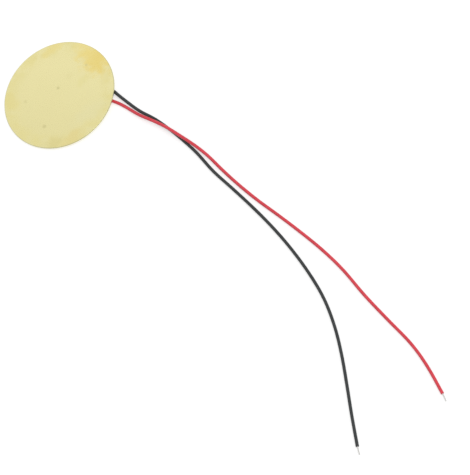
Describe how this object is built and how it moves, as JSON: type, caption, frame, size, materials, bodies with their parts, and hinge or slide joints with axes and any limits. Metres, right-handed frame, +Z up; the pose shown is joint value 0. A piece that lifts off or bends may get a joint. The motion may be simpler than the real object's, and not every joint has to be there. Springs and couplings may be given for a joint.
{
  "type": "piezo disc",
  "caption": "Round piezoelectric sounder disc: a silvered ceramic wafer bonded to a brass plate, with a black and a red soldered lead.",
  "frame": {"origin": "floor point below the middle of the brass plate, with the disc lying brass face up as it comes to rest", "axes": "+Z up off the floor, within about 3 degrees of the bare brass face's normal; the two leads run off towards -Y"},
  "size_m": [0.046, 0.1384, 0.0017],
  "materials": {
    "brass": "satin",
    "adhesive": "gloss",
    "piezo_ceramic": "matte",
    "fired_silver": "matte",
    "solder": "gloss",
    "tinned_strands": "satin",
    "black_insulation": "satin",
    "red_insulation": "satin"
  },
  "bodies": {
    "root": {"brass_plate": "brass", "bond_layer": "adhesive", "lower_electrode": "fired_silver", "ceramic_wafer": "piezo_ceramic", "upper_electrode": "fired_silver", "black_solder_joint": "solder", "red_solder_joint": "solder", "black_root_strands": "tinned_strands", "red_root_strands": "tinned_strands", "black_lead": "black_insulation", "red_lead": "red_insulation", "black_tinned_end": "tinned_strands", "red_tinned_end": "tinned_strands"}
  },
  "joints": []
}
